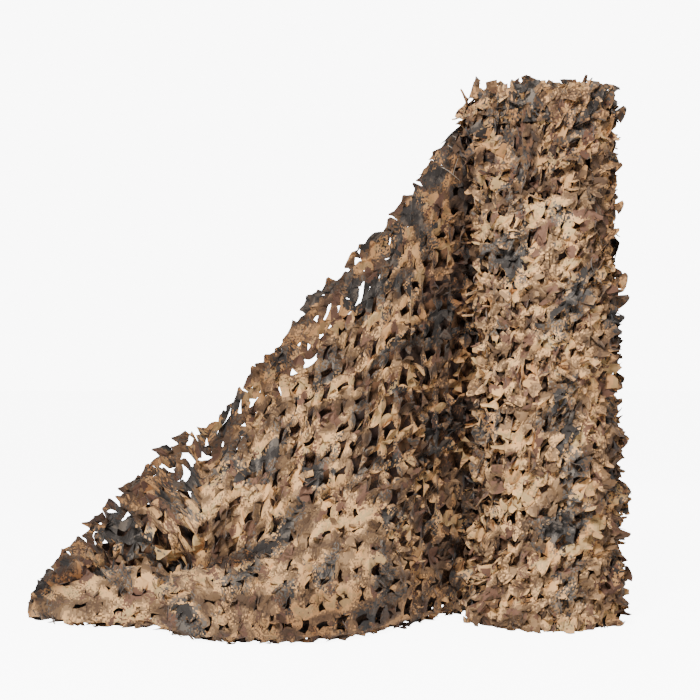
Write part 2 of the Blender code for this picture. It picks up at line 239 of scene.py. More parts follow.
def section(front, rear):
    """One section across the loose end, from the front layer's top edge to the rear layer's."""
    f, r = dict(zip(FRONT_COLUMNS, front)), dict(zip(REAR_COLUMNS, rear))
    hang = min(1.0, (f["top_z"] - f["belly_z"]) / FULL_HANG)
    room = r["heel_y"] - f["front_y"]
    keys = np.array((
        (f["top_y"], f["top_z"]),
        (f["top_y"] - f["back"], f["top_z"] - SHOULDER_DROP * hang),
        (f["belly_y"], f["belly_z"]),
        (f["crease_y"], f["crease_z"]),
        (f["ridge_y"], f["ridge_z"]),
        (f["front_y"], FRONT_HEIGHT * f["ridge_z"]),
        (f["front_y"] + min(FOOT * f["ridge_z"], FOOT_ROOM * room), FLOOR),
        (r["heel_y"] - HEEL_ROOM * room, FLOOR),
        (r["heel_y"], FLOOR + min(HEEL_BEND, HEEL_ROUND * r["middle_z"])),
        (r["middle_y"], r["middle_z"]),
        (r["rear_y"], r["rear_z"]),
    ))
    knots = running(np.sqrt(np.linalg.norm(np.diff(keys, axis=0), axis=1)))
    foot = knots[6]
    layers = []
    for start, end in ((0.0, foot), (foot, knots[-1])):
        line = through(keys, knots, np.linspace(start, end, 3 * LAYER_POINTS))
        line = np.stack([np.full(len(line), f["x"]), line[:, 0], np.maximum(line[:, 1], FLOOR)], axis=1)
        layers.append(evenly(line, LAYER_POINTS))
    return np.concatenate([layers[0], layers[1][1:]])


def draped_sections(count):
    """The sections all along the loose end, close together."""
    drape = [section(front, rear) for front, rear in zip(FRONT_LAYER, REAR_LAYER)]
    sections = np.array([seam_section(0.0), seam_section(-SEAM_STRAIGHT)] + drape)
    knots = running(np.linalg.norm(np.diff(sections, axis=0), axis=2).mean(axis=1))
    fine = through(sections, knots, np.linspace(0.0, knots[-1], count))
    x, z = fine[:, :LAYER_POINTS, 0], fine[:, :LAYER_POINTS, 2]
    for middle, half, low, high, wavelength, depth, slant in PLEATS:
        near = np.clip(1 - ((x - middle) / half) ** 2, 0.0, 1.0)
        up = smoothstep(z, low, low + PLEAT_START) * (1 - smoothstep(z, high - PLEAT_END, high))
        fine[:, :LAYER_POINTS, 1] -= depth * near * up * np.sin(2 * math.pi * (x + slant * z) / wavelength)
    fine[..., 2] = np.maximum(fine[..., 2], FLOOR)
    return fine


# %% [markdown]
# ## Cloth coordinates
#
# A point of the cloth is (u, w, h): u metres along it from the roll, w metres across it from the fold at the
# bottom, and h metres out of it. w is negative in the front layer and positive in the rear one. A `Surface`
# turns these into places. It keeps rows of points at even steps of u and w, and reads between them.


# %% Surfaces
class Surface:
    """A table of places at even steps of u and w, read between its rows. Past its ends it stays the same."""

    def __init__(self, places, u_step, w_first, w_step):
        self.places, self.u_step, self.w_first, self.w_step = places, u_step, w_first, w_step
        along, across = np.gradient(places, axis=0), np.gradient(places, axis=1)
        self.normals = np.cross(along, across)

    def read(self, table, u, w):
        last_i, last_j = table.shape[0] - 1.001, table.shape[1] - 1.001
        i_at = np.clip(np.asarray(u) / self.u_step, 0.0, last_i)
        j_at = np.clip((np.asarray(w) - self.w_first) / self.w_step, 0.0, last_j)
        i, j = i_at.astype(int), j_at.astype(int)
        s, t = (i_at - i)[:, None], (j_at - j)[:, None]
        low = table[i, j] * (1 - s) + table[i + 1, j] * s
        high = table[i, j + 1] * (1 - s) + table[i + 1, j + 1] * s
        return low * (1 - t) + high * t

    def at(self, u, w, h):
        normal = self.read(self.normals, u, w)
        normal /= np.maximum(np.linalg.norm(normal, axis=1, keepdims=True), 1e-12)
        return self.read(self.places, u, w) + normal * np.asarray(h)[:, None]


# %% [markdown]
# The drape's table has its sections at even steps of u, which is measured along the hanging part of the front
# layer. Past the two top edges the table goes straight on, for the leaf tips that stand out there.

# %% Drape surface
W_STEP, W_LIMIT = 0.008, 1.60
U_STEPS = 200
HANGING_POINTS = slice(10, 75)
EDGE_POINTS = 3  # a top edge's direction is taken over that many points
fine = draped_sections(240)
along = running(np.linalg.norm(np.diff(fine[:, HANGING_POINTS], axis=0), axis=2).mean(axis=1))
LOOSE_LENGTH = float(along[-1])
U_STEP = LOOSE_LENGTH / U_STEPS
u_grid = np.arange(U_STEPS + 1) * U_STEP
fine = np.stack([read_line(fine[:, p], along, u_grid) for p in range(fine.shape[1])], axis=1)

w_grid = np.arange(-W_LIMIT, W_LIMIT + W_STEP, W_STEP)
crease_columns = [FRONT_COLUMNS.index(name) for name in ("x", "crease_y", "crease_z")]
creases = np.array(FRONT_LAYER)[::-1, crease_columns]
front_reach, rear_reach, crease_at, rows = [], [], [], []
for line in fine:
    crease = [np.interp(line[LAYER_POINTS // 2, 0], creases[:, 0], creases[:, axis]) for axis in (1, 2)]
    nearest = np.argmin(np.linalg.norm(line[:LAYER_POINTS, 1:] - crease, axis=1))
    w_at = distances(line)
    w_at -= w_at[LAYER_POINTS - 1]
    front_reach.append(-w_at[0])
    rear_reach.append(w_at[-1])
    crease_at.append(-w_at[nearest])
    row = read_line(line, w_at, w_grid)
    start = (line[0] - line[EDGE_POINTS]) / (w_at[EDGE_POINTS] - w_at[0])
    end = (line[-1] - line[-1 - EDGE_POINTS]) / (w_at[-1] - w_at[-1 - EDGE_POINTS])
    before, after = np.maximum(w_at[0] - w_grid, 0.0), np.maximum(w_grid - w_at[-1], 0.0)
    rows.append(row + before[:, None] * start + after[:, None] * end)
front_reach, rear_reach, crease_at = (np.array(a) for a in (front_reach, rear_reach, crease_at))
drape = Surface(np.array(rows), U_STEP, w_grid[0], W_STEP)
some = [0, U_STEPS // 2, -1]
print("loose end:", round(LOOSE_LENGTH, 3), "m long, front layer", np.round(front_reach[some], 2),
      "m and rear layer", np.round(rear_reach[some], 2), "m across")

# %% [markdown]
# ## The roll's surfaces
#
# On the roll, u runs round it from the line at the back where the loose end leaves, and w is the height. Like
# its solid it has a tuft of netting at the foot and another at the top on the left, and low swells elsewhere.
# Every wound layer has a surface of its own, a little further in and with lumps of its own.

# %% Roll surfaces
LEAVE_ANGLE = 90  # degrees from +X
ROLL_ROUND = 2 * math.pi * ROLL_RADIUS
ROUND_STEPS = 180
ROLL_FIRST, ROLL_STEP = -0.05, 0.01  # the lowest height in a table, and the step from one to the next
ROLL_SPARE = 0.08  # the tables go on that far above the roll, for leaf tips
LUMP_CLIMB = 0.40  # the lumps lean to the right as they climb
ROLL_BULGES = (
    # degrees from +X, half width in degrees, height, half height, how far out
    (202, 24, 0.055, 0.080, 0.060),
    (184, 30, 1.385, 0.160, 0.056),
    (-6, 26, 0.370, 0.080, 0.014),
    (262, 30, 0.820, 0.240, 0.009),
    (318, 26, 1.150, 0.200, 0.008),
    (-5, 50, 1.280, 0.420, -0.011),
    (300, 30, 0.520, 0.180, -0.010),
    (340, 28, 0.080, 0.090, 0.012),
)


def roll_surface(inset, lumps, seed):
    """The roll's outside, that far inside the solid's, with lumps of netting of that height."""
    heights = np.arange(ROLL_FIRST, HEIGHT + ROLL_SPARE, ROLL_STEP)
    share, height = np.meshgrid(np.linspace(0.0, 1.0, ROUND_STEPS + 1), heights, indexing="ij")
    degrees = LEAVE_ANGLE + 360 * share
    radius = turn_radius(share, np.clip(height, 0.0, HEIGHT)) - inset
    for middle, half_width, middle_height, half_height, depth in ROLL_BULGES:
        turned = (degrees - middle + 180) % 360 - 180
        reach = (turned / half_width) ** 2 + ((height - middle_height) / half_height) ** 2
        radius = radius + depth * np.maximum(0.0, 1 - reach)
    calm = smoothstep(share, 0.0, 0.08) * (1 - smoothstep(share, 0.96, 1.0))
    around = share * 2 * math.pi * ROLL_RADIUS
    climb = height - LUMP_CLIMB * around
    radius = radius + calm * lumps * (
        0.6 * unevenness(0.5 * around, climb, 0.08, seed) + 0.4 * unevenness(around, climb, 0.04, seed + 1)
    )
    angle = np.radians(degrees)
    places = np.stack([radius * np.cos(angle), radius * np.sin(angle), height], axis=2)
    return Surface(places, ROLL_ROUND / ROUND_STEPS, ROLL_FIRST, ROLL_STEP)


print("round the roll:", round(ROLL_ROUND, 3), "m")

# %% [markdown]
# ## The cut lattice
#
# One cell of the lattice is a square of cloth with a window cut in it. Its outer ring of points lies on the
# middles of the bars and is shared with the next cells. Its inner ring is the window's edge, a four-pointed
# pinwheel that leans left or right in turn, as the slits do. The cloth that the die cut free isn't lost: it
# hangs on the window's sides as leaves, each with a ridge along it, and curls out of the sheet or into it.
#
# The windows could be cut with boolean cutters, or one cell repeated by Geometry Nodes. Grown cell by cell,
# each window leans, opens and curls by a draw of its own and still shares its bars with the next ones.


# %% Leaves and strings
RING = [(0, 0), (1, 0), (2, 0), (3, 0), (4, 0), (4, 1), (4, 2), (4, 3),
        (4, 4), (3, 4), (2, 4), (1, 4), (0, 4), (0, 3), (0, 2), (0, 1)]
NEXT_CELL = [(0, -1), (1, 0), (0, 1), (-1, 0)]
INWARD = [(0, 1), (-1, 0), (0, -1), (1, 0)]
LEAF_RIDGE = 0.004
PINWHEEL = (1.12, 0.97, 0.90, 0.97)  # how far out a window's edge lies, from one of its corners to the next
STRING_HALF, STRING_SAG, STRING_STEPS = 0.0010, 0.004, 8


def along_side(ring, side, order):
    """Some of the five points of a ring's side."""
    return [ring[(4 * side + k) % 16] for k in order]


class ClothParts:
    """Points (u, w, h, shade, back) and faces of a cut cloth, its leaves and its strings.

    cut holds, in metres, the bars' width (bar), how far a window's long sides curve (bow), how uneven the
    cloth is (rough), how far the bars' edges turn out (tilt) and the length of the edge's leaves (edge). Of
    the windows' leaves it holds their share (leaves), their length as a share of the window (reach), how
    blunt they are (blunt) and their angles where they stand out (stands) or are folded back (lies). The share
    of the edge's leaves that are as wide as a cell is lobes. The others are pairs of small points.
    """

    def __init__(self, cut, seed):
        self.cut, self.chance = cut, random.Random(seed)
        self.points, self.faces, self.strings = [], [], []

    # shade is added to the point's painted shade, and back is 1 where its back face takes the painted shade.
    def point(self, u, w, h, shade=0.0, back=1.0):
        self.points.append((u, w, h, shade, back))
        return len(self.points) - 1

    def leaf(self, root, way, length, lift, curl):
        """A pointed leaf along five root points, leaning out of the cloth by lift and then curl more.

        The angles are in radians. The root gets points of its own, so the leaf is shaded apart from its bar.
        """
        chance = self.chance
        shade = chance.uniform(-0.05, 0.22)
        root = [self.point(*self.points[k][:3], shade, 0.0) for k in root]
        side = chance.uniform(-0.25, 0.25) * length
        across = (-way[1], way[0])

        def out(start, step, angle, slide, ridge=0.0):
            flat = step * math.cos(angle) - ridge * math.sin(angle)
            return (
                start[0] + way[0] * flat + across[0] * slide,
                start[1] + way[1] * flat + across[1] * slide,
                start[2] + step * math.sin(angle) + ridge * math.cos(angle),
            )

        middle = [
            out(self.points[k], 0.5 * length, lift, 0.3 * side, ridge)
            for k, ridge in zip(root[1:4], (0.0, LEAF_RIDGE, 0.0))
        ]
        blunt, tips = self.cut["blunt"], []
        for end in (middle[0], middle[2]):
            start = [(1 - blunt) * m + blunt * e for m, e in zip(middle[1], end)]
            tips.append(out(start, 0.6 * length, lift + curl, side))
        a, b, c, s, t = (self.point(*place, shade, 0.0) for place in middle + tips)
        self.faces += [(root[0], root[1], a), (root[1], root[2], b, a), (root[2], root[3], c, b),
                       (root[3], root[4], c), (a, b, s), (b, t, s), (b, c, t)]

    def fin(self, root, way, length):
        """A short pointed end on the cloth's edge, over three root points."""
        chance = self.chance
        start, end = self.points[root[0]], self.points[root[2]]
        share = chance.uniform(0.1, 0.9)
        u, w, h = (start[axis] * share + end[axis] * (1 - share) for axis in range(3))
        h += chance.uniform(-0.5, 0.5) * length
        tip = self.point(u + way[0] * length, w + way[1] * length, h, chance.uniform(0.0, 0.2))
        self.faces += [(root[0], root[1], tip), (root[1], root[2], tip)]

    def thread(self, start, end, lift):
        """One string of the backing net, a narrow ribbon between two places (u, w), sagging a little."""
        way = np.subtract(end, start)
        side = np.array((-way[1], way[0])) / np.linalg.norm(way) * STRING_HALF
        first = len(self.points)
        for share in np.linspace(0.0, 1.0, STRING_STEPS + 1):
            u, w = np.add(start, way * share) + (0.0, -STRING_SAG * math.sin(math.pi * share))
            for sign in (1, -1):
                self.point(u + sign * side[0], w + sign * side[1], lift)
        self.strings += [(k, k + 1, k + 3, k + 2) for k in range(first, first + 2 * STRING_STEPS, 2)]


# %% [markdown]
# A cell is made in three steps: its outer ring, whose points the next cells share, its window, and the leaves
# on the window's sides. Where there is no next cell, the side is the cloth's edge and gets leaves of its own.


# %% Cells
class Cloth(ClothParts):
    """A cut cloth, grown cell by cell."""

    def window(self, outer, middle, half, lean, relief):
        """The window's ring of points inside a cell's outer ring, and the faces of the bars between them."""
        chance, cut = self.chance, self.cut
        turn = lean * math.radians(chance.uniform(6, 24))
        way = (-1, -1, 1, 1) if lean > 0 else (1, -1, -1, 1)
        turned = [
            relief * (cut["tilt"] * sign * chance.uniform(0.4, 1.3) - chance.uniform(0, 0.5) * cut["rough"])
            for sign in way
        ]
        shade = chance.uniform(-0.04, 0.14)
        bow = chance.uniform(0.4, 1.0) * cut["bow"] * chance.choice((-1, 1))
        inner = []
        for k, (a, b) in enumerate(RING):
            stretch = PINWHEEL[k % 4] * chance.uniform(0.93, 1.07)
            x, y = (a - 2) / 2 * half[0] * stretch, (b - 2) / 2 * half[1] * stretch
            if lean > 0:
                y += bow * (((a - 2) / 2) ** 2 - 0.5)
            else:
                x += bow * (((b - 2) / 2) ** 2 - 0.5)
            side, share = k // 4, (k % 4) / 4
            inner.append(self.point(
                middle[0] + x * math.cos(turn) - y * math.sin(turn),
                middle[1] + x * math.sin(turn) + y * math.cos(turn),
                self.points[outer[k]][2] + turned[side] * (1 - share) + turned[(side + 1) % 4] * share,
                shade,
            ))
        self.faces += [(outer[k], outer[k - 15], inner[k - 15], inner[k]) for k in range(16)]
        return inner

    def cells(self, columns, rows, pitch, w_first, keep, opened, relief):
        """The cells whose middle keep(u, w) accepts.

        opened(u, w) is how far the windows are open and relief(u, w) how rough the cloth is, from 0 to 1.
        Where opened is 0, the cells are whole. A window opens less across its lean than along it.
        """
        chance, cut, shared = self.chance, self.cut, {}
        du, dw = pitch

        def corner(i, j):
            if (i, j) not in shared:
                u, w = i * du / 4, w_first + j * dw / 4
                h = 0.6 * unevenness(u, w, 0.10, 5) + 0.4 * unevenness(u, w, 0.04, 6)
                slip = 0.12 * cut["bar"]
                shared[i, j] = self.point(
                    u + chance.uniform(-slip, slip), w + chance.uniform(-slip, slip),
                    relief(u, w) * cut["rough"] * (float(h) + chance.uniform(-0.25, 0.25)),
                    chance.uniform(-0.03, 0.08),
                )
            return shared[i, j]

        kept = {
            (i, j) for i in range(columns) for j in range(rows)
            if keep((i + 0.5) * du, w_first + (j + 0.5) * dw)
        }
        for i, j in sorted(kept):
            middle = ((i + 0.5) * du, w_first + (j + 0.5) * dw)
            lean = (1 if (i + j) % 2 else -1)
            wide, rise = opened(*middle) * chance.uniform(0.75, 1.15), relief(*middle)
            half = [
                (size - cut["bar"]) / 2 * (1.25 * (0.5 + 0.5 * wide) if way > 0 else 0.80 * wide**1.4)
                for size, way in ((du, lean), (dw, -lean))
            ]
            outer = [corner(4 * i + a, 4 * j + b) for a, b in RING]
            if wide == 0.0:
                centre = self.point(*middle, 0.0)
                self.faces += [(outer[k], outer[k - 15], centre) for k in range(16)]
                continue
            inner = self.window(outer, middle, half, lean, rise)
            for side in range(4):
                facing = side % 2 == (0 if lean > 0 else 1)
                share = (cut["leaves"] if facing else 0.2 * cut["leaves"]) * min(1.0, 1.2 * rise)
                if chance.random() < share:
                    lift = chance.uniform(*(cut["stands"] if chance.random() < 0.5 else cut["lies"]))
                    self.leaf(
                        along_side(inner, side, (0, 1, 2, 3, 4)), INWARD[side],
                        2 * half[1 - side % 2] * chance.uniform(*cut["reach"]) + 0.006,
                        rise * lift * (1 if chance.random() < 0.85 else -1), rise * chance.uniform(-0.6, 0.9),
                    )
                if (i + NEXT_CELL[side][0], j + NEXT_CELL[side][1]) not in kept:
                    length = chance.uniform(*cut["edge"])
                    if chance.random() < cut["lobes"]:
                        self.leaf(along_side(outer, side, (4, 3, 2, 1, 0)), NEXT_CELL[side],
                                  length, chance.uniform(-0.4, 0.7), chance.uniform(-0.5, 0.8))
                    else:
                        for three in ((4, 3, 2), (2, 1, 0)):
                            self.fin(along_side(outer, side, three), NEXT_CELL[side],
                                     length * chance.uniform(0.5, 0.9))

    def flat_area(self):
        """The cloth's area before it is draped, in square metres."""
        places = np.array([p[:3] for p in self.points])
        total = 0.0
        for face in self.faces:
            for k in range(1, len(face) - 1):
                a, b, c = places[face[0]], places[face[k]], places[face[k + 1]]
                total += 0.5 * np.linalg.norm(np.cross(b - a, c - a))
        return float(total)


print("a cell has", len(RING), "points round it and as many round its window")

# %% [markdown]
# The cloth's points stay flat until here. `cloth_mesh` lays them on a surface and stores what the material
# asks of each point: its place in the print, how much painted shade it takes, how grey it is, and whether its
# back face takes painted shade.
# `leafy` is how many loose leaves will grow there.


# %% Cloth mesh
OFF_FLOOR = 0.0008
SLIDE, SLIDE_FREE = 0.014, 0.08  # how far the lattice is pulled about, and how near the fold it isn't


def show(name, data):
    """An object of that data, in the scene."""
    made = bpy.data.objects.new(name, data)
    bpy.context.scene.collection.objects.link(made)
    return made


def label_points(data, name, values):
    """Stores a number, or a row of three, for each point of a mesh."""
    values = np.asarray(values, np.float32)
    kind, key = ("FLOAT_VECTOR", "vector") if values.ndim == 2 else ("FLOAT", "value")
    data.attributes.new(name, kind, "POINT").data.foreach_set(key, values.ravel())


def cloth_mesh(cloth, name, surface, looks, print_shift, slant=0.0,
               folds=lambda u, w: 0.0, hem=lambda u, w: w):
    """The cloth on a surface, its rows climbing by slant along it, with folds(u, w) added to its height.

    hem(u, w) gives w again, drawn in where the cloth would pass its edge.
    looks(u, w) gives three things from 0 to 1: how much painted shade, how leafy and how grey the cloth is.
    """
    u, w, h, shade, back = (np.array(column) for column in zip(*cloth.points))
    slide = SLIDE * np.clip(np.abs(w) / SLIDE_FREE, 0.0, 1.0)
    u_at = u + slide * unevenness(u, w, 0.15, 71)
    w_at = w + slant * u + slide * unevenness(u, w, 0.15, 72)
    w_at = hem(u_at, w_at)
    depth, leafy, grey = looks(u_at, w_at)
    places = surface.at(u_at, w_at, h + folds(u_at, w_at))
    places[:, 2] = np.maximum(places[:, 2], OFF_FLOOR)
    data = bpy.data.meshes.new(name)
    data.from_pydata([tuple(p) for p in places], [], cloth.faces + cloth.strings)
    data.polygons.foreach_set("material_index", [0] * len(cloth.faces) + [1] * len(cloth.strings))
    label_points(data, "print_at", np.stack([u + print_shift[0], w + print_shift[1], 0 * u], axis=1))
    for label, values in (
        ("depth", np.clip(depth + shade, 0.0, 1.0)), ("leafy", leafy), ("grey", grey), ("back", back),
    ):
        label_points(data, label, np.broadcast_to(values, u.shape))
    print(name, len(data.polygons), "faces")
    return show(name, data)


# %% [markdown]
# ## Nodes
#
# Materials and the scatter tree are made of nodes. These helpers add one node with its settings and inputs
# in one call, and an input is either a value or another node's output.


# %% Node helpers
NODES_IN_ROW, NODE_GAP = 8, (220, 320)


def new_sockets(tree, way, rows):
    """A group's sockets, from rows of name, kind and the value to start with."""
    for name, kind, *value in rows:
        made = tree.interface.new_socket(name=name, in_out=way, socket_type="NodeSocket" + kind)
        if value:
            made.default_value = value[0]


def set_inputs(tree, node, inputs):
    """Gives each input a value, or another node's output to read."""
    for key, value in inputs.items():
        if isinstance(value, bpy.types.NodeSocket):
            tree.links.new(value, node.inputs[key])
        else:
            node.inputs[key].default_value = value


def add(tree, kind, inputs=None, **settings):
    """A node, with its settings made before its inputs, which can depend on them.

    The editor shows the nodes in rows, in the order in which they are made.
    """
    row, column = divmod(len(tree.nodes), NODES_IN_ROW)
    node = tree.nodes.new(kind)
    node.location = (column * NODE_GAP[0], -row * NODE_GAP[1])
    for key, value in settings.items():
        setattr(node, key, value)
    set_inputs(tree, node, inputs or {})
    return node


def calc(tree, operation, *values, **settings):
    """What a Math node makes of the values."""
    inputs = dict(enumerate(values))
    return add(tree, "ShaderNodeMath", inputs, operation=operation, **settings).outputs[0]


def mixed(tree, factor, a, b, blend="MIX"):
    """Two colours in one."""
    inputs = {"Factor": factor, "A": a, "B": b}
    return add(tree, "ShaderNodeMix", inputs, data_type="RGBA", blend_type=blend).outputs["Result"]


def remapped(tree, value, old, new, **settings):
    """A value that went from the one pair of limits to the other, brought to the new pair."""
    inputs = {"Value": value, "From Min": old[0], "From Max": old[1], "To Min": new[0], "To Max": new[1]}
    return add(tree, "ShaderNodeMapRange", inputs, **settings).outputs[0]


def banded(tree, factor, bands):
    """A colour for each band of the factor, with nothing in between."""
    node = add(tree, "ShaderNodeValToRGB", {0: factor})
    ramp = node.color_ramp
    ramp.interpolation = "CONSTANT"
    while len(ramp.elements) < len(bands):
        ramp.elements.new(0.5)
    for element, (position, colour) in zip(ramp.elements, bands):
        element.position = position
        element.color = (*colour, 1.0)
    return node.outputs[0]


# %% [markdown]
# ## Printed cloth
#
# The print is a generic desert blotch: sand, tan and brown areas, rust here and there, and charcoal patches,
# all with edges that break up into small squares. It is drawn in cloth coordinates, so it stays on the cloth
# as it folds.
#
# Each kind of blotch is a noise, read once for each small square and cut off at a level. A random number for
# each square is added before the cut, more in some zones than in others, and makes the ragged edges. A
# painted image could hold such a print, but it would have to be as large as the cloth.


# %% Camouflage group
PRINT_BANDS = (
    # the noise from which it is seen, colour
    (0.00, (0.098, 0.054, 0.027)),
    (0.39, (0.168, 0.095, 0.044)),
    (0.46, (0.300, 0.178, 0.086)),
    (0.52, (0.700, 0.392, 0.162)),
    (0.61, (0.510, 0.335, 0.148)),
)
CHARCOAL_BANDS = (
    (0.00, (0.034, 0.028, 0.024)),
    (0.50, (0.068, 0.058, 0.050)),
    (0.58, (0.145, 0.119, 0.095)),
)
RUST, RUST_FROM = (0.155, 0.076, 0.045, 1.0), 0.61
CHARCOAL_FROM = (0.75, 0.45)  # the noise from which it is seen, at a share of 0 and of 1


def camouflage_group():
    """Cloth place in metres in; the print's colour and a height for fine creases out."""
    tree = bpy.data.node_groups.new("camouflage print", "ShaderNodeTree")
    new_sockets(tree, "INPUT", (
        ("Place", "Vector"),
        ("Blotch Size", "Float", 0.11),
        ("Square Size", "Float", 0.0045),
        ("Ragged Edge", "Float", 0.13),
        ("Charcoal Share", "Float", 0.5),
    ))
    new_sockets(tree, "OUTPUT", (("Color", "Color"), ("Height", "Float")))
    source = add(tree, "NodeGroupInput").outputs
    place, size = source["Place"], source["Square Size"]
    square = add(tree, "ShaderNodeCombineXYZ", {0: size, 1: size, 2: size})
    squares = add(tree, "ShaderNodeVectorMath", {0: place, 1: square.outputs[0]},
                  operation="SNAP")
    scale = calc(tree, "DIVIDE", 1.0, source["Blotch Size"])

    speck = add(tree, "ShaderNodeTexWhiteNoise", {"Vector": squares.outputs[0]},
                noise_dimensions="3D")
    centred = calc(tree, "SUBTRACT", speck.outputs["Value"], 0.5)
    zones = add(tree, "ShaderNodeTexNoise", {"Vector": place, "Scale": 14.0, "Detail": 1.0})
    speckled = remapped(tree, zones.outputs[0], (0.40, 0.62), (0.30, 2.0),
                        interpolation_type="SMOOTHSTEP")
    edge = calc(tree, "MULTIPLY", speckled, source["Ragged Edge"])
    ragged = calc(tree, "MULTIPLY", centred, edge)

    def blotches(offset, stretch, size, detail):
        moved = add(tree, "ShaderNodeVectorMath", {0: squares.outputs[0], 1: stretch, 2: offset},
                    operation="MULTIPLY_ADD")
        noise = add(tree, "ShaderNodeTexNoise", {
            "Vector": moved.outputs[0],
            "Scale": calc(tree, "MULTIPLY", scale, size),
            "Detail": detail,
            "Roughness": 0.55,
        }, noise_dimensions="3D")
        return calc(tree, "ADD", noise.outputs[0], ragged)

    # offset, stretch, size, detail
    ground = blotches((3.1, 1.7, 0.0), (1.0, 1.5, 1.0), 1.0, 1.5)
    rust = blotches((11.9, 5.3, 0.0), (1.3, 1.0, 1.0), 1.5, 1.5)
    dark = blotches((-7.7, 9.1, 0.0), (1.0, 1.0, 1.0), 0.70, 3.0)
    tones = blotches((4.4, -2.6, 0.0), (1.0, 1.0, 1.0), 2.2, 2.0)
    rusty = mixed(tree, calc(tree, "GREATER_THAN", rust, RUST_FROM),
                  banded(tree, ground, PRINT_BANDS), RUST)
    limit = remapped(tree, source["Charcoal Share"], (0.0, 1.0), CHARCOAL_FROM)
    printed = mixed(tree, calc(tree, "GREATER_THAN", dark, limit),
                    rusty, banded(tree, tones, CHARCOAL_BANDS))
    crumple = add(tree, "ShaderNodeTexNoise", {"Vector": place, "Scale": 90.0, "Detail": 3.0})
    add(tree, "NodeGroupOutput", {"Color": printed, "Height": crumple.outputs[0]})
    return tree


CAMOUFLAGE = camouflage_group()
print("camouflage print:", len(CAMOUFLAGE.nodes), "nodes")

# %% [markdown]
# The cloth itself is dull polyester with a little sheen. Layers that lie deeper get a painted shade, and so
# does the cloth's back face. Real light would do some of that, but in so open a lattice it reaches nearly
# everywhere, so the depth of the painted shade is stored with the points. The backing net's strings are pale
# twisted nylon, with a painted shade in their colour.


# %% Cloth and string
WHITE = (1.0, 1.0, 1.0, 1.0)
GREYER = 0.45  # the charcoal that the grey places have more


def new_material(name):
    """A material, its nodes and its shader."""
    material = bpy.data.materials.new(name)
    material.use_nodes = True
    return material, material.node_tree, material.node_tree.nodes["Principled BSDF"]


def attribute(tree, name, output="Fac"):
    return add(tree, "ShaderNodeAttribute", attribute_name=name).outputs[output]


def cloth_material(name, charcoal, deep_shade):
    """Printed cloth with that share of charcoal. deep_shade is what is left of its colour under the deepest
    painted shade.
    """
    material, tree, shader = new_material(name)
    grey = attribute(tree, "grey")
    camouflage = add(tree, "ShaderNodeGroup", {
        "Place": attribute(tree, "print_at", "Vector"),
        "Charcoal Share": remapped(tree, grey, (0.0, 1.0), (charcoal, charcoal + GREYER)),
    }, node_tree=CAMOUFLAGE)
    # Painted shade: the stored depth, and all of it on a back face where back is 1, mixes the print towards
    # deep_shade.
    side = add(tree, "ShaderNodeNewGeometry").outputs["Backfacing"]
    total = calc(tree, "MULTIPLY_ADD", attribute(tree, "back"), side,
                 attribute(tree, "depth"), use_clamp=True)
    shade = mixed(tree, total, WHITE, (*deep_shade, 1.0))
    bump = add(tree, "ShaderNodeBump", {
        "Strength": 0.35, "Distance": 0.004, "Height": camouflage.outputs["Height"],
    })
    set_inputs(tree, shader, {
        "Base Color": mixed(tree, 1.0, camouflage.outputs["Color"], shade, "MULTIPLY"),
        "Normal": bump.outputs[0],
        "Roughness": 0.78,
        "Specular IOR Level": 0.3,
        "Sheen Weight": 0.08,
    })
    return material


def string_material():
    """Pale twisted nylon, with a painted shade darkening its colour."""
    material, tree, shader = new_material("backing string")
    place = attribute(tree, "print_at", "Vector")
    twist = add(tree, "ShaderNodeTexNoise", {"Vector": place, "Scale": 270.0})
    tint = mixed(tree, twist.outputs[0], (0.13, 0.10, 0.075, 1.0), (0.25, 0.20, 0.155, 1.0))
    set_inputs(tree, shader, {"Base Color": tint, "Roughness": 0.5})
    return material


# Lit and shaded copies of the cloth: each has its own painted deep shade, and the one in the shade has little
# charcoal, so its painted shade looks brown.
outer_cloth = cloth_material("printed netting", charcoal=0.52, deep_shade=(0.23, 0.165, 0.12))
roll_cloth = cloth_material("printed netting, wound", charcoal=0.46, deep_shade=(0.33, 0.24, 0.18))
shaded_cloth = cloth_material("netting in the shade", charcoal=0.15, deep_shade=(0.16, 0.125, 0.125))
print("cloths:", ", ".join(cloth.name for cloth in (outer_cloth, roll_cloth, shaded_cloth)))

# %% [markdown]
# ## The loose end's netting
#
# Both layers are one cloth. Its windows are open where it hangs and nearly closed where it is bunched on the
# floor. The cells run straight up and across, and the top edges cut them off in steps, which `drape_hem`
# draws in. w is negative in the front layer, so -w is the height above the fold, measured along the cloth.

# %% Where the cells go
CELL = (0.060, 0.066)
LOOSE_CUT = {
    "bar": 0.025, "bow": 0.010, "rough": 0.011, "tilt": 0.014, "edge": (0.016, 0.030), "lobes": 0.75,
    "leaves": 0.80, "reach": (0.4, 0.9), "blunt": 0.3, "stands": (0.7, 1.5), "lies": (1.8, 2.6),
}


def reach_at(u, layer):
    return np.interp(u, u_grid, layer)


def in_drape(u, w):
    if u < 0.02 or u > LOOSE_LENGTH - 0.01:
        return False
    past = np.interp(u, (0.40, 0.55), (0.012, 0.021))
    return w > -reach_at(u, front_reach) - past if w < 0 else w < reach_at(u, rear_reach) - 0.010


def drape_hem(u, w):
    """The cells end in steps, and the top edge is straighter than they are, most of all by the roll."""
    pull = np.interp(u, (0.33, 0.55), (0.80, 0.34))
    edge = reach_at(u, front_reach) - np.interp(u, (0.33, 0.48), (0.026, -0.004))
    return w + pull * np.maximum(-w - edge, 0.0)


def hanging(u, w):
    """0 for the fold that lies on the floor, 1 for the part of the front layer that hangs."""
    above = -np.asarray(w) - reach_at(u, crease_at)
    low = np.interp(u, (1.0, 1.5), (0.02, -0.05))
    return smoothstep(above - low, 0.0, 0.14)


